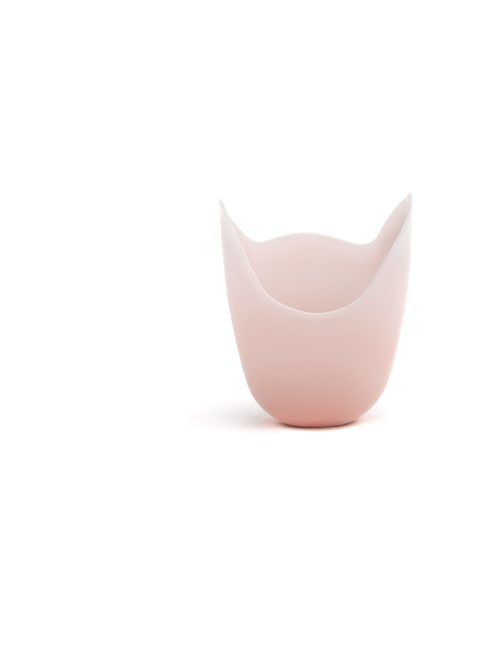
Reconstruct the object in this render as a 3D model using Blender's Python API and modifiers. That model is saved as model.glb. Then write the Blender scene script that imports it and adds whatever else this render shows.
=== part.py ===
"""Silicone toe pad: a hollow gel cup that the toes slip into, one moulded piece.

It stands on its closed toe, which ends in a small flat platform. +Z is up, +X is to the
right and +Y to the back, in metres, and the origin is the middle of the platform.
The cup is a loft through upright sections. Each section is a squared ellipse, and the
upper edge is cut to a curve: two tall side wings, a deep dip at the front, and a lower,
wavy edge with a tongue at the back.
"""

import math

import bmesh
import bpy

# Outer size
HEIGHT = 0.095
WIDTH = 0.0795
DEPTH = 0.040

# The soft mouth leans this far to -X at the wing tips
LEAN = 0.0014

# Upper edge: the lowest point of the front dip and the top of the back tongue
FRONT_EDGE_HEIGHT = 0.0500
BACK_EDGE_HEIGHT = 0.0763

# Flat end of the toe
PLATFORM_WIDTH = 0.021
PLATFORM_DEPTH = 0.016

# Squared ellipse of each section: 2 is a plain ellipse, more is squarer
SQUARENESS = 2.2

# Gel thickness: under the toes, round them, in the side wall and at the edge
TOE_WALL = 0.0045
TOE_SIDE_WALL = 0.0030
SIDE_WALL = 0.0020
EDGE_WALL = 0.0011
TOE_WALL_REACH = 0.034
EDGE_WALL_REACH = 0.014
EDGE_ROUNDING = 0.0005
EDGE_ROUNDING_STEPS = 2

# Mesh density: columns go round the cup, rows go up each skin
COLUMNS = 72
ROWS = 18

GEL_COLOUR = (0.78, 0.49, 0.43, 1.0)
GEL_ROUGHNESS = 0.45

# Sections of the outer skin, from the platform to the wing tips. height: share of HEIGHT.
# width and depth: share of the way from the platform's size to WIDTH and DEPTH.
SECTION_COLUMNS = ("height", "width", "depth")
SECTIONS = (
    (0.000, 0.000, 0.00),
    (0.015, 0.190, 0.18),
    (0.055, 0.380, 0.37),
    (0.125, 0.570, 0.55),
    (0.200, 0.670, 0.65),
    (0.350, 0.792, 0.77),
    (0.500, 0.885, 0.85),
    (0.670, 0.952, 0.94),
    (0.820, 0.981, 1.00),
    (1.000, 1.000, 1.03),
)

# Upper edge. turn: degrees round the cup, from the right wing over the back to the left
# wing at 180 and on over the front. drop: share of the way from the wing tips down to
# BACK_EDGE_HEIGHT in the first table and to FRONT_EDGE_HEIGHT in the second.
BACK_EDGE = (
    (0, 0.00),
    (8, 0.11),
    (20, 0.29),
    (30, 0.535),
    (38, 0.81),
    (45, 1.14),
    (55, 1.28),
    (66, 1.22),
    (78, 1.09),
    (92, 1.00),
    (106, 1.065),
    (118, 1.155),
    (125, 1.12),
    (132, 0.96),
    (141, 0.715),
    (150, 0.465),
    (158, 0.27),
    (170, 0.12),
)
FRONT_EDGE = (
    (180, 0.01),
    (192, 0.07),
    (204, 0.235),
    (214, 0.43),
    (226, 0.712),
    (232, 0.82),
    (242, 0.908),
    (254, 0.972),
    (265, 1.00),
    (276, 0.97),
    (287, 0.89),
    (296, 0.767),
    (304, 0.602),
    (314, 0.438),
    (329, 0.24),
    (342, 0.11),
    (352, 0.046),
)


def clear_scene():
    """Start from an empty scene."""
    for old in list(bpy.data.objects):
        bpy.data.objects.remove(old, do_unlink=True)


def mix(start, end, share):
    """Value that lies a share of the way from start to end."""
    return start + (end - start) * share


def ease(share):
    """Smooth step from 0 to 1, level at both ends."""
    share = min(max(share, 0.0), 1.0)
    return share * share * (3.0 - 2.0 * share)


def slope_at(points, index):
    """Slope of the curve at a point, from the points on both sides of it."""
    before = points[max(index - 1, 0)]
    after = points[min(index + 1, len(points) - 1)]
    return (after[1] - before[1]) / (after[0] - before[0])


def curve_value(points, at):
    """Height of the smooth curve through (position, value) points at one position."""
    index = 0
    while index < len(points) - 2 and at > points[index + 1][0]:
        index += 1
    start, end = points[index], points[index + 1]
    span = end[0] - start[0]
    step = (at - start[0]) / span
    bend = ease(step)
    lift = slope_at(points, index) * span * step * (1.0 - step) ** 2
    fall = slope_at(points, index + 1) * span * step * step * (1.0 - step)
    return mix(start[1], end[1], bend) + lift - fall


def section_curve(column):
    """One column of SECTIONS over the square root of the height, which keeps the toe round."""
    place = SECTION_COLUMNS.index(column)
    return [(math.sqrt(row[0]), row[place]) for row in SECTIONS]


def edge_curve():
    """Height of the upper edge over the turn, with a row more past either end."""
    rows = [(turn, mix(HEIGHT, BACK_EDGE_HEIGHT, drop)) for turn, drop in BACK_EDGE]
    rows += [(turn, mix(HEIGHT, FRONT_EDGE_HEIGHT, drop)) for turn, drop in FRONT_EDGE]
    before = (rows[-1][0] - 360, rows[-1][1])
    after = [(turn + 360, height) for turn, height in rows[:2]]
    return [before] + rows + after


WIDTH_CURVE = section_curve("width")
DEPTH_CURVE = section_curve("depth")
EDGE_CURVE = edge_curve()


def edge_height(turn):
    """Height of the upper edge at a turn in degrees."""
    return curve_value(EDGE_CURVE, turn)


def squared(value):
    """Sine or cosine bent towards a square, with its sign kept."""
    return math.copysign(abs(value) ** (2.0 / SQUARENESS), value)


def section_point(turn, section_height, inset, height):
    """Point of the section that belongs to section_height, drawn in by inset.

    The mouth's lean grows with the square of the height, so the toe stands upright.
    """
    share = section_height / HEIGHT
    level = math.sqrt(share)
    half_width = mix(PLATFORM_WIDTH, WIDTH, curve_value(WIDTH_CURVE, level)) / 2 - inset
    half_depth = mix(PLATFORM_DEPTH, DEPTH, curve_value(DEPTH_CURVE, level)) / 2 - inset
    angle = math.radians(turn)
    x = half_width * squared(math.cos(angle)) - LEAN * share ** 2
    y = half_depth * squared(math.sin(angle))
    return x, y, height


def wall_thickness(height, below_edge):
    """Thickness of the side wall: thick round the toes and thin at the edge."""
    wall = mix(TOE_SIDE_WALL, SIDE_WALL, ease(height / TOE_WALL_REACH))
    return mix(EDGE_WALL, wall, ease(below_edge / EDGE_WALL_REACH))


def outer_point(turn, share):
    """Point of the outer skin, at a share of the way from the platform to the edge."""
    height = edge_height(turn) * share
    return section_point(turn, height, 0.0, height)


def inner_point(turn, share):
    """Point of the inner skin, which starts on the gel under the toes."""
    top = edge_height(turn)
    section_height = top * share
    inset = wall_thickness(section_height, top - section_height)
    return section_point(turn, section_height, inset, mix(TOE_WALL, top, share))


def ring(bm, point, share):
    """One closed row of vertices round the cup."""
    turns = [360.0 * column / COLUMNS for column in range(COLUMNS)]
    return [bm.verts.new(point(turn, share)) for turn in turns]


def bridge(bm, lower, upper):
    """Faces between two rows, facing out where the second row lies above the first."""
    for column in range(COLUMNS):
        following = (column + 1) % COLUMNS
        bm.faces.new((lower[column], lower[following], upper[following], upper[column]))


def cap(bm, row, height, facing_down):
    """Fan of faces that closes a row at a centre point."""
    centre = bm.verts.new((0.0, 0.0, height))
    for column in range(COLUMNS):
        following = (column + 1) % COLUMNS
        pair = (row[following], row[column]) if facing_down else (row[column], row[following])
        bm.faces.new((centre,) + pair)


def cup_mesh():
    """Both skins of the cup, joined over the edge and closed at platform and floor."""
    bm = bmesh.new()
    shares = [ease(row / ROWS) for row in range(ROWS + 1)]
    outer = [ring(bm, outer_point, share) for share in shares]
    inner = [ring(bm, inner_point, share) for share in reversed(shares)]
    rows = outer + inner
    for lower, upper in zip(rows, rows[1:]):
        bridge(bm, lower, upper)
    cap(bm, outer[0], 0.0, facing_down=True)
    cap(bm, inner[-1], TOE_WALL, facing_down=False)
    mesh = bpy.data.meshes.new("toe_pad")
    bm.to_mesh(mesh)
    bm.free()
    return mesh


def gel_material():
    """Translucent pink silicone gel with a satin skin."""
    material = bpy.data.materials.new("silicone_gel")
    material.use_nodes = True
    shader = material.node_tree.nodes["Principled BSDF"]
    shader.inputs["Base Color"].default_value = GEL_COLOUR
    shader.inputs["Roughness"].default_value = GEL_ROUGHNESS
    shader.inputs["Metallic"].default_value = 0.0
    material.diffuse_color = GEL_COLOUR
    return material


def round_edge(pad):
    """Round both sides of the upper edge, the only sharp corners of the cup."""
    bevel = pad.modifiers.new("edge_rounding", "BEVEL")
    bevel.width = EDGE_ROUNDING
    bevel.segments = EDGE_ROUNDING_STEPS
    bevel.limit_method = "ANGLE"
    bevel.angle_limit = math.radians(50)


def make_toe_pad(collection):
    """The whole pad, one casting."""
    mesh = cup_mesh()
    mesh.materials.append(gel_material())
    mesh.shade_smooth()
    pad = bpy.data.objects.new("toe_pad", mesh)
    collection.objects.link(pad)
    round_edge(pad)
    return pad


def main():
    clear_scene()
    collection = bpy.data.collections.new("silicone_toe_pad")
    bpy.context.scene.collection.children.link(collection)
    make_toe_pad(collection)


main()
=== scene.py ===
# %% [markdown]
# # A silicone toe pad
#
# The pad is a soft cup of silicone gel that slips over the toes. It is cast in one piece:
# the closed toe is thick and holds most of the pigment, the wall thins out on its way up,
# and the upper edge is cut into two tall wings with a deep dip at the front.
#
# The solid model of the cup is the frame of this scene. The lesson builds a finer cup around
# it with Geometry Nodes, gives it a gel that lets light in, and photographs it in a white
# studio.

# %% Load the solid model
import math

import bmesh
import bpy
from mathutils import Matrix, Vector


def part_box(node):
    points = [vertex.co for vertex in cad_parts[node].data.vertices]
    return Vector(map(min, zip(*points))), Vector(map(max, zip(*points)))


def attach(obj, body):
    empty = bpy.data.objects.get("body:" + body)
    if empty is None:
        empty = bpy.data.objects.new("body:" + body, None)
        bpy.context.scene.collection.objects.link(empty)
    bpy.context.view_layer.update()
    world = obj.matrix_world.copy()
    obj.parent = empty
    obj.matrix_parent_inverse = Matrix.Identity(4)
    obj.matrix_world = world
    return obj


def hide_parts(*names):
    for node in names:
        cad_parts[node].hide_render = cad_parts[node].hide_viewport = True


MILLIMETRE = 0.001

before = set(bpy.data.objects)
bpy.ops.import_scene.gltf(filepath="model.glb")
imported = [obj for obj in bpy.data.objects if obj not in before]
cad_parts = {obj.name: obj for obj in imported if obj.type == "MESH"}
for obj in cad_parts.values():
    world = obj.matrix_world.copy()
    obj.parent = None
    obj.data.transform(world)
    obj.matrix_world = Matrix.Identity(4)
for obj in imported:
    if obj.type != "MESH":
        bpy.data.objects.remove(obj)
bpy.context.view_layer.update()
low_corner, high_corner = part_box("toe_pad")
print("solid model:", sorted(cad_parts), "size in mm:", (high_corner - low_corner) / MILLIMETRE)

# %% [markdown]
# ## The sizes
#
# The overall size comes from the solid model, so the finer cup can't drift away from it.
# The soft mouth leans a little to one side, which the box shows as two unequal halves.
# The sections open a little deeper than the box is, because the front and the back wall
# end below the wing tips, where the sections are deepest.

# %% Sizes in metres
DEEPER_THAN_THE_BOX = 1.0443

HEIGHT = high_corner.z
WIDTH = high_corner.x - low_corner.x
LEAN = -(low_corner.x + high_corner.x) / 2
DEPTH = (high_corner.y - low_corner.y) * DEEPER_THAN_THE_BOX

FRONT_EDGE_HEIGHT = 0.0500
BACK_EDGE_HEIGHT = 0.0763

PLATFORM_WIDTH = 0.021
PLATFORM_DEPTH = 0.016
SQUARENESS = 2.2

TOE_WALL = 0.0045
TOE_SIDE_WALL = 0.0030
SIDE_WALL = 0.0020
EDGE_WALL = 0.0011
TOE_WALL_REACH = 0.034
EDGE_WALL_REACH = 0.014
LIP_HEIGHT = 0.0008

print("lean in mm:", round(LEAN / MILLIMETRE, 2), "full depth in mm:", round(DEPTH / MILLIMETRE, 2))

# %% [markdown]
# ## Two short tables
#
# The cup follows two rules. Its sections grow from the platform to the wing tips, and its
# upper edge rises and falls on the way round. Both are drawn as a few points, as a pattern
# maker would mark them, with lengths as shares of the sizes above.

# %% Sections and upper edge
# height: share of HEIGHT. width and depth: share of the way from the platform's size to
# WIDTH and DEPTH.
SECTION_COLUMNS = ("height", "width", "depth")
SECTIONS = (
    (0.000, 0.000, 0.00),
    (0.015, 0.190, 0.18),
    (0.055, 0.380, 0.37),
    (0.125, 0.570, 0.55),
    (0.200, 0.670, 0.65),
    (0.350, 0.792, 0.77),
    (0.500, 0.885, 0.85),
    (0.670, 0.952, 0.94),
    (0.820, 0.981, 1.00),
    (1.000, 1.000, 1.03),
)

# turn: degrees round the cup from the right wing over the back. drop: share of the way from
# the wing tips down to BACK_EDGE_HEIGHT in the first table and FRONT_EDGE_HEIGHT in the second.
BACK_EDGE = (
    (0, 0.00),
    (8, 0.11),
    (20, 0.29),
    (30, 0.535),
    (38, 0.81),
    (45, 1.14),
    (55, 1.28),
    (66, 1.22),
    (78, 1.09),
    (92, 1.00),
    (106, 1.065),
    (118, 1.155),
    (125, 1.12),
    (132, 0.96),
    (141, 0.715),
    (150, 0.465),
    (158, 0.27),
    (170, 0.12),
)
FRONT_EDGE = (
    (180, 0.01),
    (192, 0.07),
    (204, 0.235),
    (214, 0.43),
    (226, 0.712),
    (232, 0.82),
    (242, 0.908),
    (254, 0.972),
    (265, 1.00),
    (276, 0.97),
    (287, 0.89),
    (296, 0.767),
    (304, 0.602),
    (314, 0.438),
    (329, 0.24),
    (342, 0.11),
    (352, 0.046),
)
FULL_TURN = 360
print("sections:", len(SECTIONS), "edge points:", len(BACK_EDGE) + len(FRONT_EDGE))

# %% [markdown]
# A few marked points make a smooth line when each span is a cubic whose slope at a point
# comes from the two points beside it. A Float Curve node has its own way of rounding, so
# the line is worked out here and drawn into the node with many close points.


# %% A smooth line through marked points
def mix(start, end, share):
    """Value that lies a share of the way from start to end."""
    return start + (end - start) * share


def slope_at(points, index):
    """Slope of the line at a point, from the points on both sides of it."""
    before = points[max(index - 1, 0)]
    after = points[min(index + 1, len(points) - 1)]
    return (after[1] - before[1]) / (after[0] - before[0])


def line_value(points, at):
    """Height of the smooth line at one position."""
    index = 0
    while index < len(points) - 2 and at > points[index + 1][0]:
        index += 1
    start, end = points[index], points[index + 1]
    span = end[0] - start[0]
    step = (at - start[0]) / span
    bend = step * step * (3.0 - 2.0 * step)
    lift = slope_at(points, index) * span * step * (1.0 - step) ** 2
    fall = slope_at(points, index + 1) * span * step * step * (1.0 - step)
    return mix(start[1], end[1], bend) + lift - fall


def drawn(points, end, count):
    """The smooth line from 0 to end as count spans of a Float Curve, whose own range is 0 to 1."""
    return [(step / count, line_value(points, end * step / count)) for step in range(count + 1)]


# %% [markdown]
# The sections are marked by height, but the toe is nearly flat underneath. Over the square
# root of the height that flat part becomes a plain slope, which a curve can follow. The
# edge runs all the way round, so one point more at either end keeps it smooth at the seam.


# %% The three lines of the cup
def section_line(column):
    """One column of SECTIONS over the square root of the height."""
    place = SECTION_COLUMNS.index(column)
    return [(math.sqrt(row[0]), row[place]) for row in SECTIONS]


def edge_line():
    """Height of the upper edge as a share of HEIGHT, over the turn."""
    rows = [(turn, mix(HEIGHT, BACK_EDGE_HEIGHT, drop) / HEIGHT) for turn, drop in BACK_EDGE]
    rows += [(turn, mix(HEIGHT, FRONT_EDGE_HEIGHT, drop) / HEIGHT) for turn, drop in FRONT_EDGE]
    before = (rows[-1][0] - FULL_TURN, rows[-1][1])
    after = [(turn + FULL_TURN, height) for turn, height in rows[:2]]
    return [before] + rows + after


SECTION_SPANS = 32
EDGE_SPANS = 90
width_drawn = drawn(section_line("width"), 1.0, SECTION_SPANS)
depth_drawn = drawn(section_line("depth"), 1.0, SECTION_SPANS)
edge_drawn = drawn(edge_line(), FULL_TURN, EDGE_SPANS)
lowest_edge = min(height for turn, height in edge_drawn) * HEIGHT
print("lowest point of the edge in mm:", round(lowest_edge / MILLIMETRE, 1))

# %% [markdown]
# ## Sums with sockets
#
# Both the shape and the gel are node trees, and both hold a lot of arithmetic. Written node
# by node that is hard to read. This small class wraps a socket, so that a plain Python sum
# such as 1 - mask adds the Math node by itself. Every other node comes from one method,
# which takes the node's type, its settings and what its sockets get.


# %% A socket that can be added and multiplied
class Value:
    """The output of a node, usable in Python sums."""

    def __init__(self, graph, socket):
        self.graph = graph
        self.socket = socket

    def __add__(self, other):
        return self.graph.maths("ADD", self, other)

    def __radd__(self, other):
        return self.graph.maths("ADD", other, self)

    def __sub__(self, other):
        return self.graph.maths("SUBTRACT", self, other)

    def __rsub__(self, other):
        return self.graph.maths("SUBTRACT", other, self)

    def __mul__(self, other):
        return self.graph.maths("MULTIPLY", self, other)

    def __rmul__(self, other):
        return self.graph.maths("MULTIPLY", other, self)

    def __truediv__(self, other):
        return self.graph.maths("DIVIDE", self, other)

    def __rtruediv__(self, other):
        return self.graph.maths("DIVIDE", other, self)

    def __pow__(self, other):
        return self.graph.maths("POWER", self, other)

    def __rpow__(self, other):
        return self.graph.maths("POWER", other, self)


# %% One method for any node
def pick(sockets, name):
    """The socket with this identifier, or else the first one in use with this name."""
    for socket in sockets:
        if socket.identifier == name:
            return socket
    return next(socket for socket in sockets if socket.enabled and socket.name == name)


def draw_curve(node, points):
    """Put the points of a line into a Float Curve node."""
    node.mapping.use_clip = False
    line = node.mapping.curves[0].points
    line[0].location = points[0]
    line[-1].location = points[-1]
    for x, y in points[1:-1]:
        line.new(x, y)
    node.mapping.update()


def set_stops(node, stops):
    """Put the stops of a gradient, as (position, colour), smoothly into a Color Ramp node."""
    node.color_ramp.interpolation = "CARDINAL"
    elements = node.color_ramp.elements
    while len(elements) < len(stops):
        elements.new(1.0)
    for element, (position, colour) in zip(elements, stops):
        element.position = position
        element.color = colour


class Graph:
    """A node tree that is being written."""

    def __init__(self, tree):
        self.tree = tree
        self.setters = {"curve": draw_curve, "stops": set_stops}

    def add(self, kind, settings=None, sockets=None, give=None):
        """Add a node, settings first, then its sockets. give names the output to hand back."""
        node = self.tree.nodes.new(kind)
        for name, value in (settings or {}).items():
            if name in self.setters:
                self.setters[name](node, value)
            else:
                setattr(node, name, value)
        for name, value in (sockets or {}).items():
            self.fill(pick(node.inputs, name), value)
        if give is None:
            return node
        return Value(self, pick(node.outputs, give))

    def fill(self, socket, value):
        """Link a Value to a socket, or set a plain value on it."""
        if isinstance(value, Value):
            self.tree.links.new(value.socket, socket)
        else:
            socket.default_value = value

    def maths(self, operation, *values):
        """A Math node on up to three values."""
        node = self.add("ShaderNodeMath", {"operation": operation})
        for socket, value in zip(node.inputs, values):
            self.fill(socket, value)
        return Value(self, node.outputs[0])

    def blend(self, share, start, end):
        """Number that lies a share of the way from start to end."""
        return start + share * (end - start)

    def ramp(self, value, low, high, start, end, smooth=False):
        """Clamped ramp from start at low to end at high."""
        kind = "SMOOTHSTEP" if smooth else "LINEAR"
        sockets = {"Value": value, "From Min": low, "From Max": high, "To Min": start, "To Max": end}
        return self.add("ShaderNodeMapRange", {"interpolation_type": kind}, sockets, "Result")

    def line(self, value, points):
        """Height at a value of a line drawn with many close points."""
        return self.add("ShaderNodeFloatCurve", {"curve": points}, {"Value": value}, "Value")

    def axes(self, vector):
        """The three numbers of a vector, by the names X, Y and Z."""
        node = self.add("ShaderNodeSeparateXYZ", sockets={"Vector": vector})
        return {socket.name: Value(self, socket) for socket in node.outputs}


print("node helpers ready")

# %% [markdown]
# ## The cup as a rule
#
# The real cup is cast between an outer mould and a core, so it has two skins, a rounded lip
# where they meet, a flat platform under the toe and a floor inside. It could be sculpted,
# or lofted by hand from rings. Here one flat grid is bent into all of it: across the grid
# runs the turn round the cup, and up the grid runs a path that starts under the platform,
# climbs the outer skin, rolls over the lip and goes down the inner skin to the floor.
# A rule like that is a good case for Geometry Nodes, because every size stays an input.
#
# The stops below say which share of the grid's rows each stretch of that path gets.

# %% Stretches of the path
GRID_SIZE = 1.0
PATH_PLATFORM_RIM = 0.06
PATH_LIP_OUTSIDE = 0.48
PATH_LIP_INSIDE = 0.58
PATH_FLOOR_RIM = 0.94

CUP_SIZES = {
    "Height": HEIGHT,
    "Width": WIDTH,
    "Depth": DEPTH,
    "Lean": LEAN,
    "Platform Width": PLATFORM_WIDTH,
    "Platform Depth": PLATFORM_DEPTH,
    "Squareness": SQUARENESS,
    "Toe Wall": TOE_WALL,
    "Toe Side Wall": TOE_SIDE_WALL,
    "Side Wall": SIDE_WALL,
    "Edge Wall": EDGE_WALL,
    "Toe Wall Reach": TOE_WALL_REACH,
    "Edge Wall Reach": EDGE_WALL_REACH,
    "Lip Height": LIP_HEIGHT,
}
CUP_COUNTS = {"Columns": 145, "Rows": 101, "Smoothing": 1}


def new_cup_tree():
    """An empty Geometry Nodes tree with a named input for every size and count."""
    tree = bpy.data.node_groups.new("cup", "GeometryNodeTree")
    for name in CUP_SIZES:
        tree.interface.new_socket(name, in_out="INPUT", socket_type="NodeSocketFloat")
    for name in CUP_COUNTS:
        tree.interface.new_socket(name, in_out="INPUT", socket_type="NodeSocketInt")
    tree.interface.new_socket("Gel", in_out="INPUT", socket_type="NodeSocketMaterial")
    tree.interface.new_socket("Geometry", in_out="OUTPUT", socket_type="NodeSocketGeometry")
    return tree


# %% [markdown]
# The path is one number from 0 to 1. Five ramps on it say how far out from the middle a
# point lies, how high it is, and whether it is on the outside or the inside. On the lip a
# half turn carries it across the wall while the sine of that half turn lifts it.


# %% Where a point of the grid is on the path
def path_values(graph):
    """Turn, radius share, height share, side and lip lift of every grid point."""
    axis = graph.axes(graph.add("GeometryNodeInputPosition", give="Position"))
    turn = axis["X"] + GRID_SIZE / 2
    path = axis["Y"] + GRID_SIZE / 2
    leave_platform = graph.ramp(path, 0.0, PATH_PLATFORM_RIM, 0.0, 1.0)
    reach_middle = graph.ramp(path, PATH_FLOOR_RIM, 1.0, 1.0, 0.0)
    climb = graph.ramp(path, PATH_PLATFORM_RIM, PATH_LIP_OUTSIDE, 0.0, 1.0, smooth=True)
    descend = graph.ramp(path, PATH_LIP_INSIDE, PATH_FLOOR_RIM, 1.0, 0.0, smooth=True)
    roll = graph.ramp(path, PATH_LIP_OUTSIDE, PATH_LIP_INSIDE, 0.0, math.pi)
    side = (1.0 - graph.maths("COSINE", roll)) / 2.0
    return {
        "turn": turn,
        "radius": leave_platform * reach_middle,
        "height": climb * descend,
        "side": side,
        "lift": graph.maths("SINE", roll),
    }


# %% [markdown]
# The wall is thick round the toes, thinner above them and thinnest at the edge. The section
# at each height is a squared ellipse: a sine or cosine raised to a power below one, with its
# sign kept.


# %% Wall thickness and section
def wall_thickness(graph, size, height, below_edge):
    """Thickness of the side wall."""
    toe_share = graph.ramp(height, 0.0, size["Toe Wall Reach"], 0.0, 1.0, smooth=True)
    wall = graph.blend(toe_share, size["Toe Side Wall"], size["Side Wall"])
    edge_share = graph.ramp(below_edge, 0.0, size["Edge Wall Reach"], 0.0, 1.0, smooth=True)
    return graph.blend(edge_share, size["Edge Wall"], wall)


def squared(graph, wave, squareness):
    """Sine or cosine bent towards a square, with its sign kept."""
    size = graph.maths("ABSOLUTE", wave) ** (2.0 / squareness)
    return size * graph.maths("SIGN", wave)


def half_size(graph, size, level, points, name):
    """Half the width or depth of the section at a level."""
    return graph.blend(graph.line(level, points), size["Platform " + name], size[name]) / 2.0


# %% Place of every point
def cup_point(graph, size, at):
    """Position of a grid point on the cup, and how far below the edge it is."""
    shoulder = graph.line(at["turn"], edge_drawn) * size["Height"] - size["Lip Height"]
    lift = size["Lip Height"] * at["lift"]
    section = shoulder * at["height"] + lift
    below_edge = shoulder + size["Lip Height"] - section
    wall = wall_thickness(graph, size, section, below_edge)
    share = section / size["Height"]
    level = graph.maths("SQRT", share)
    angle = at["turn"] * math.tau
    half_width = half_size(graph, size, level, width_drawn, "Width") - wall * at["side"]
    half_depth = half_size(graph, size, level, depth_drawn, "Depth") - wall * at["side"]
    across = squared(graph, graph.maths("COSINE", angle), size["Squareness"])
    along = squared(graph, graph.maths("SINE", angle), size["Squareness"])
    x = half_width * across * at["radius"] - size["Lean"] * share * share
    y = half_depth * along * at["radius"]
    z = graph.blend(at["height"], size["Toe Wall"] * at["side"], shoulder) + lift
    place = graph.add("ShaderNodeCombineXYZ", sockets={"X": x, "Y": y, "Z": z}, give="Vector")
    return place, below_edge


# %% [markdown]
# The bent grid still has a seam where its two ends meet, and a whole row of points in the
# middle of the platform and of the floor. Merging by distance closes all three. One round
# of Catmull-Clark smoothing then hides the steps of the grid. Two measures are stored on
# the points first, because the gel's colour will follow them: the distance below the edge,
# and which skin a point is on.

# %% Build the tree
MERGE_DISTANCE = 0.00001
STORED_MEASURES = ("below_edge", "inside")


def build_cup_tree():
    """The whole tree, from the flat grid to the finished cup."""
    tree = new_cup_tree()
    graph = Graph(tree)
    sizes_in = graph.add("NodeGroupInput")
    size = {socket.name: Value(graph, socket) for socket in sizes_in.outputs if socket.name}
    sockets = {"Size X": GRID_SIZE, "Size Y": GRID_SIZE}
    sockets.update({"Vertices X": size["Columns"], "Vertices Y": size["Rows"]})
    geometry = graph.add("GeometryNodeMeshGrid", sockets=sockets, give="Mesh")
    at = path_values(graph)
    place, below_edge = cup_point(graph, size, at)
    for name, number in zip(STORED_MEASURES, (below_edge, at["side"])):
        sockets = {"Geometry": geometry, "Name": name, "Value": number}
        settings = {"data_type": "FLOAT", "domain": "POINT"}
        geometry = graph.add("GeometryNodeStoreNamedAttribute", settings, sockets, "Geometry")
    sockets = {"Geometry": geometry, "Position": place}
    geometry = graph.add("GeometryNodeSetPosition", sockets=sockets, give="Geometry")
    sockets = {"Geometry": geometry, "Distance": MERGE_DISTANCE}
    geometry = graph.add("GeometryNodeMergeByDistance", sockets=sockets, give="Geometry")
    sockets = {"Mesh": geometry, "Level": size["Smoothing"]}
    geometry = graph.add("GeometryNodeSubdivisionSurface", sockets=sockets, give="Mesh")
    geometry = graph.add("GeometryNodeSetShadeSmooth", sockets={"Geometry": geometry}, give="Geometry")
    geometry = graph.add("GeometryNodeRealizeInstances", sockets={"Geometry": geometry}, give="Geometry")
    sockets = {"Geometry": geometry, "Material": size["Gel"]}
    geometry = graph.add("GeometryNodeSetMaterial", sockets=sockets, give="Geometry")
    graph.add("NodeGroupOutput", sockets={"Geometry": geometry})
    print("cup tree:", len(tree.nodes), "nodes")
    return tree


cup_tree = build_cup_tree()

# %% [markdown]
# ## The gel
#
# Silicone gel is cloudy: light goes in, scatters between the pigment grains and comes out
# some millimetres away. That is why the thin edge looks nearly white, why the thick toe is
# the deepest pink, and why no shadow on it has a hard border. A Principled shader with
# subsurface scattering does this. Its colour still needs help, because a shader doesn't
# count the grains that a thick wall stacks up. The wall thins out towards the wing tips, so
# the height picks the tint, with one gradient for the outside, one for the inside and one
# for the thin lip. Light and shade are painted into these tints as well: a painted contact
# shadow at the foot of the toe, painted light on the flanks and on the inside, and painted
# shade on the inside and the lip near the wing tips.


# %% Colours of the gel
def srgb(red, green, blue):
    """A screen colour from 0 to 255 as the linear colour that a shader takes."""
    channels = []
    for channel in (red, green, blue):
        value = channel / 255
        if value <= 0.04045:
            channels.append(value / 12.92)
        else:
            channels.append(((value + 0.055) / 1.055) ** 2.4)
    return (*channels, 1.0)


# Tints from the toe's platform to the wing tips: (share of the height, tint). The gradients
# go on past 1, because the flanks, with their painted light, take their tint from further up.
TINT_REACH = 1.25
OUTER_TINTS_WITH_PAINTED_SHADOW = (
    # The three lowest stops are a deep red foot: partly the thick toe's deeper pigment, partly a painted
    # contact shadow where the toe meets the floor.
    (0.000, srgb(180, 58, 40)),
    (0.008, srgb(200, 106, 90)),
    (0.022, srgb(202, 143, 132)),
    (0.10, srgb(195, 153, 144)),
    (0.30, srgb(200, 172, 166)),
    (0.50, srgb(204, 178, 172)),
    (0.70, srgb(204, 186, 185)),
    (0.90, srgb(198, 185, 184)),
    (1.00, srgb(192, 188, 187)),
    (1.25, srgb(190, 188, 187)),
)
# The inside is painted paler than the outside, as painted light that comes in through the walls, and
# darker near the wing tips, as painted shade.
INNER_TINTS_WITH_PAINTED_LIGHT_AND_SHADE = (
    (0.00, srgb(208, 160, 152)),
    (0.30, srgb(220, 182, 175)),
    (0.45, srgb(225, 192, 185)),
    (0.60, srgb(223, 199, 197)),
    (0.70, srgb(213, 187, 185)),
    (0.80, srgb(200, 177, 176)),
    (1.00, srgb(182, 169, 167)),
)
# The lip is paler than the walls low down, for its thin gel and as a painted highlight along its top,
# and turns grey and dark towards the wing tips as painted shade.
LIP_TINTS_WITH_PAINTED_LIGHT_AND_SHADE = (
    (0.50, srgb(213, 197, 192)),
    (0.65, srgb(194, 184, 181)),
    (0.78, srgb(184, 179, 178)),
    (1.00, srgb(163, 164, 164)),
)
LIP_REACH = 0.0040
LIP_SHARE = 0.8

# The flanks are painted paler, as painted light from the sides, the right one more. From START
# out to REACH, in metres off the middle, they take their tint from further up, in the end by
# SHIFT as a share of the height. The inside gets the INNER share of the right one's painted light.
PAINTED_LIGHT_RIGHT_START = 0.0
PAINTED_LIGHT_RIGHT_SHIFT = 0.21
PAINTED_LIGHT_LEFT_START = -0.018
PAINTED_LIGHT_LEFT_SHIFT = 0.08
PAINTED_LIGHT_REACH = 0.038
INNER_PAINTED_LIGHT_SHARE = 0.38

# Clouds in the gel: how fine they are, and how far they sway the tint and the roughness
NOISE_MIDDLE = 0.5
CLOUDS_PER_METRE = 45.0
CLOUD_DETAIL = 2.0
CLOUD_TINT_SWAY = 0.06
CLOUD_ROUGHNESS_SWAY = 0.1
GEL_ROUGHNESS = 0.46

# Fine unevenness of the skin
SKIN_BUMPS_PER_METRE = 1800.0
SKIN_DETAIL = 3.0
SKIN_BUMP_STRENGTH = 0.12
SKIN_BUMP_DEPTH = 0.00006

GEL_SETTINGS = {
    "Metallic": 0.0,
    "IOR": 1.41,
    "Subsurface Weight": 1.0,
    "Subsurface Radius": (1.0, 0.95, 0.9),
    "Subsurface Scale": 0.012,
    "Sheen Weight": 0.45,
    "Sheen Roughness": 0.4,
}


# %% Gel material
def measure(graph, name):
    """A measure that the cup tree stored on the points."""
    settings = {"attribute_type": "GEOMETRY", "attribute_name": name}
    return graph.add("ShaderNodeAttribute", settings, give="Fac")


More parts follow.
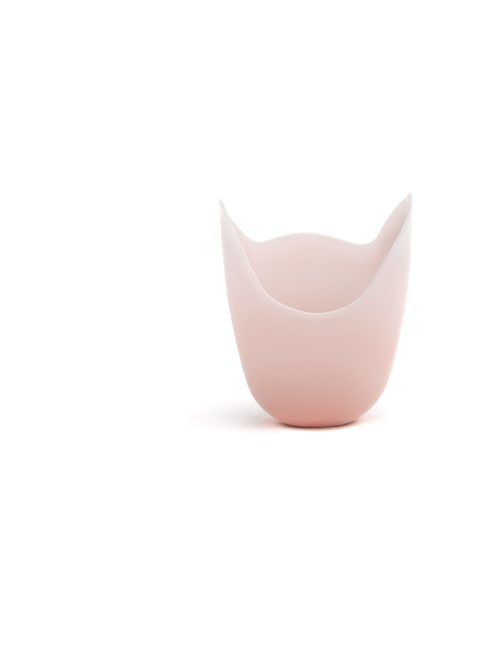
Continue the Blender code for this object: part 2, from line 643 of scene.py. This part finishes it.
def noise(graph, coordinates, per_metre, detail):
    """Soft cloudy noise from 0 to 1 with so many features in a metre."""
    sockets = {"Vector": coordinates, "Scale": per_metre, "Detail": detail}
    return graph.add("ShaderNodeTexNoise", None, sockets, "Fac")


def blend_colour(graph, share, start, end):
    """Colour that lies a share of the way from start to end."""
    sockets = {"Factor_Float": share, "A_Color": start, "B_Color": end}
    return graph.add("ShaderNodeMix", {"data_type": "RGBA"}, sockets, "Result_Color")


def tint_ramp(graph, level, tints):
    """Tint at a level between the toe and the wing tips."""
    stops = [(share / TINT_REACH, tint) for share, tint in tints]
    return graph.add("ShaderNodeValToRGB", {"stops": stops}, {"Fac": level / TINT_REACH}, "Color")


def gel_tint_and_painted_light(graph, across, level):
    """Tint of the outside and the inside, with the lip's own tint over both, and the painted light and
    shade that their gradients hold.
    """
    # Painted light on the flanks: right and left lift the level, so the flanks take a paler tint.
    right = graph.ramp(across, PAINTED_LIGHT_RIGHT_START, PAINTED_LIGHT_REACH, 0.0, PAINTED_LIGHT_RIGHT_SHIFT, smooth=True)
    left = graph.ramp(across, PAINTED_LIGHT_LEFT_START, -PAINTED_LIGHT_REACH, 0.0, PAINTED_LIGHT_LEFT_SHIFT, smooth=True)
    outer = tint_ramp(graph, level + right + left, OUTER_TINTS_WITH_PAINTED_SHADOW)
    inner = tint_ramp(graph, level + right * INNER_PAINTED_LIGHT_SHARE, INNER_TINTS_WITH_PAINTED_LIGHT_AND_SHADE)
    walls = blend_colour(graph, measure(graph, "inside"), outer, inner)
    lip = graph.ramp(measure(graph, "below_edge"), 0.0, LIP_REACH, LIP_SHARE, 0.0, smooth=True)
    return blend_colour(graph, lip, walls, tint_ramp(graph, level, LIP_TINTS_WITH_PAINTED_LIGHT_AND_SHADE))


def skin_bump(graph, place):
    """Fine unevenness of the skin, which keeps its shine soft."""
    height = noise(graph, place, SKIN_BUMPS_PER_METRE, SKIN_DETAIL)
    sockets = {"Height": height, "Strength": SKIN_BUMP_STRENGTH, "Distance": SKIN_BUMP_DEPTH}
    return graph.add("ShaderNodeBump", None, sockets, "Normal")


def new_material(name):
    """An empty material, and the graph that its nodes are written with."""
    material = bpy.data.materials.new(name)
    material.use_nodes = True
    material.node_tree.nodes.clear()
    return material, Graph(material.node_tree)


def finish_material(graph, sockets):
    """A Principled shader with what its sockets get, as the surface."""
    shader = graph.add("ShaderNodeBsdfPrincipled", None, sockets, "BSDF")
    graph.add("ShaderNodeOutputMaterial", sockets={"Surface": shader})


def gel_material():
    """Cloudy pink gel, pale where it is thin, with painted light and shade in its tint."""
    material, graph = new_material("silicone_gel_and_painted_light")
    place = graph.add("ShaderNodeTexCoord", give="Object")
    axis = graph.axes(place)
    clouds = noise(graph, place, CLOUDS_PER_METRE, CLOUD_DETAIL) - NOISE_MIDDLE
    tint = gel_tint_and_painted_light(graph, axis["X"], axis["Z"] / HEIGHT + clouds * CLOUD_TINT_SWAY)
    roughness = GEL_ROUGHNESS + clouds * CLOUD_ROUGHNESS_SWAY
    varying = {"Base Color": tint, "Roughness": roughness, "Normal": skin_bump(graph, place)}
    finish_material(graph, {**GEL_SETTINGS, **varying})
    print("gel material:", len(graph.tree.nodes), "nodes")
    return material


gel = gel_material()

# %% [markdown]
# ## From tree to mesh
#
# A modifier's inputs are set by the identifier of their socket, because names may repeat.
# The evaluated object is then copied into a plain mesh, and the modifier goes.


# %% Make the cup
CUBIC_CENTIMETRE = 1e-6


def set_inputs(modifier, values):
    """Give values to a Geometry Nodes modifier by the names of its inputs."""
    for item in modifier.node_group.interface.items_tree:
        if item.item_type == "SOCKET" and item.in_out == "INPUT":
            modifier[item.identifier] = values[item.name]


def make_cup():
    """The finished cup as a plain mesh object."""
    cup = bpy.data.objects.new("gel_cup", bpy.data.meshes.new("gel_cup_seed"))
    bpy.context.scene.collection.objects.link(cup)
    modifier = cup.modifiers.new("cup", "NODES")
    modifier.node_group = cup_tree
    set_inputs(modifier, {**CUP_SIZES, **CUP_COUNTS, "Gel": gel})
    graph = bpy.context.evaluated_depsgraph_get()
    mesh = bpy.data.meshes.new_from_object(cup.evaluated_get(graph))
    cup.modifiers.clear()
    cup.data = mesh
    mesh.name = "gel_cup"
    return cup


def measure_cup(cup):
    """Print whether the mesh is closed, how much gel it holds and how fine it is."""
    shape = bmesh.new()
    shape.from_mesh(cup.data)
    open_edges = sum(len(edge.link_faces) != 2 for edge in shape.edges)
    volume = shape.calc_volume(signed=True) / CUBIC_CENTIMETRE
    triangles = sum(len(face.verts) - 2 for face in shape.faces)
    shape.free()
    print("open edges:", open_edges, "cubic cm:", round(volume, 2), "triangles:", triangles)


cup = make_cup()
measure_cup(cup)
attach(cup, "root")
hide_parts("toe_pad")

# %% [markdown]
# ## A white studio
#
# The photograph is a high-key one: floor and background are pure white, and only a soft
# pink shadow shows where the toe stands. A large white floor under a white sky does the
# most. A very wide light from above keeps the shadows soft, and two soft boxes, the right
# one stronger, light the flanks of the cup.
#
# Light that has passed through the gel turns the shadow round the platform pink, and it fills
# the shadow under the flanks of the toe. Such light is too rare to be found in a short render,
# so the floor's colour holds a painted pink shadow and a faint painted glow stands for the light.

# %% Floor
FLOOR_SIZE = 20.0
FLOOR_WHITE = (0.95, 0.95, 0.95, 1.0)
FLOOR_ROUGHNESS = 0.8

# The painted shadow and the glow lie in ovals round the platform. START, PEAK and END are
# metres from its middle to the right and the left. To the front and the back they lie nearer by OVAL.
OVAL = 1.15
PAINTED_FLOOR_SHADOW = srgb(216, 166, 146)
PAINTED_SHADOW_START = 0.0105
PAINTED_SHADOW_END = 0.0195
GLOW = (0.21, 0.14, 0.11, 1.0)
NO_GLOW = (0.0, 0.0, 0.0, 1.0)
GLOW_STRENGTH = 1.0
GLOW_START = 0.012
GLOW_PEAK = 0.018
GLOW_END = 0.028


def floor_material():
    """Matt white with a painted pink shadow and a faint painted glow round the platform."""
    material, graph = new_material("studio_floor")
    axis = graph.axes(graph.add("ShaderNodeTexCoord", give="Object"))
    across = axis["X"]
    along = axis["Y"] * OVAL
    distance = graph.maths("SQRT", across * across + along * along)
    painted_shadow = graph.ramp(distance, PAINTED_SHADOW_START, PAINTED_SHADOW_END, 1.0, 0.0, smooth=True)
    tint = blend_colour(graph, painted_shadow, FLOOR_WHITE, PAINTED_FLOOR_SHADOW)
    rise = graph.ramp(distance, GLOW_START, GLOW_PEAK, 0.0, 1.0, smooth=True)
    fall = graph.ramp(distance, GLOW_PEAK, GLOW_END, 1.0, 0.0, smooth=True)
    glow = blend_colour(graph, rise * fall, NO_GLOW, GLOW)
    sockets = {"Base Color": tint, "Roughness": FLOOR_ROUGHNESS, "Specular IOR Level": 0.0}
    sockets.update({"Emission Color": glow, "Emission Strength": GLOW_STRENGTH})
    finish_material(graph, sockets)
    return material


def make_floor():
    """A wide white floor."""
    bpy.ops.mesh.primitive_plane_add(size=FLOOR_SIZE)
    floor = bpy.context.object
    floor.name = "floor"
    floor.data.materials.append(floor_material())


make_floor()

# %% Lights
SKY_STRENGTH = 0.6

CEILING_PLACE = (0.15, -0.35, 1.0)
CEILING_TARGET = (0.0, 0.0, 0.0)
CEILING_WIDTH = math.radians(80.0)
CEILING_STRENGTH = 1.95

# name, place and watts of each soft box
SOFTBOXES = (
    ("right_softbox", (0.9, -0.2, 0.4), 2.0),
    ("left_softbox", (-0.9, -0.35, 0.2), 0.7),
)
SOFTBOX_TARGET = (0.0, 0.0, 0.04)
SOFTBOX_SIZE = 0.6


def add_light(name, kind, place, target, strength):
    """A light that is turned towards its target. Its settings are handed back."""
    data = bpy.data.lights.new(name, kind)
    data.energy = strength
    light = bpy.data.objects.new(name, data)
    bpy.context.scene.collection.objects.link(light)
    light.location = place
    light.rotation_euler = (Vector(target) - light.location).to_track_quat("-Z", "Y").to_euler()
    return data


def make_sky():
    """An even white sky."""
    world = bpy.data.worlds.new("studio_sky")
    world.use_nodes = True
    background = world.node_tree.nodes["Background"]
    background.inputs["Color"].default_value = (1.0, 1.0, 1.0, 1.0)
    background.inputs["Strength"].default_value = SKY_STRENGTH
    bpy.context.scene.world = world


def make_ceiling_light():
    """An even light from above, so wide that its shadows have no hard border."""
    data = add_light("ceiling_light", "SUN", CEILING_PLACE, CEILING_TARGET, CEILING_STRENGTH)
    data.angle = CEILING_WIDTH


def make_softboxes():
    """A square soft light on either side."""
    for name, place, watts in SOFTBOXES:
        data = add_light(name, "AREA", place, SOFTBOX_TARGET, watts)
        data.shape = "SQUARE"
        data.size = SOFTBOX_SIZE


make_sky()
make_ceiling_light()
make_softboxes()

# %% [markdown]
# ## The camera
#
# The camera stands 90 cm away, a little to the left and 13 degrees above the floor's level.
# From there both wing tips are equally high and the mouth looks as deep as in the photograph.

# %% Camera
CAMERA_TURN = math.radians(-11.0)
CAMERA_RISE = math.radians(13.0)
CAMERA_DISTANCE = 0.9
LENS = 119.54
LOOK_HEIGHT = 0.045
SHIFT_RIGHT = -0.0284
SHIFT_UP = -0.00691


def make_camera():
    """A camera at the photograph's angle, aimed so that the cup sits where it does there."""
    back = Vector((
        math.sin(CAMERA_TURN) * math.cos(CAMERA_RISE),
        -math.cos(CAMERA_TURN) * math.cos(CAMERA_RISE),
        math.sin(CAMERA_RISE),
    ))
    right = Vector((math.cos(CAMERA_TURN), math.sin(CAMERA_TURN), 0.0))
    up = back.cross(right)
    target = Vector((0.0, 0.0, LOOK_HEIGHT)) + right * SHIFT_RIGHT + up * SHIFT_UP
    data = bpy.data.cameras.new("camera")
    data.lens = LENS
    camera = bpy.data.objects.new("camera", data)
    bpy.context.scene.collection.objects.link(camera)
    turned = Matrix((right, up, back)).transposed()
    camera.matrix_world = Matrix.Translation(target + back * CAMERA_DISTANCE) @ turned.to_4x4()
    bpy.context.scene.camera = camera
    print("camera at", [round(value, 3) for value in camera.matrix_world.translation])


make_camera()
bpy.context.scene.view_settings.view_transform = "Standard"
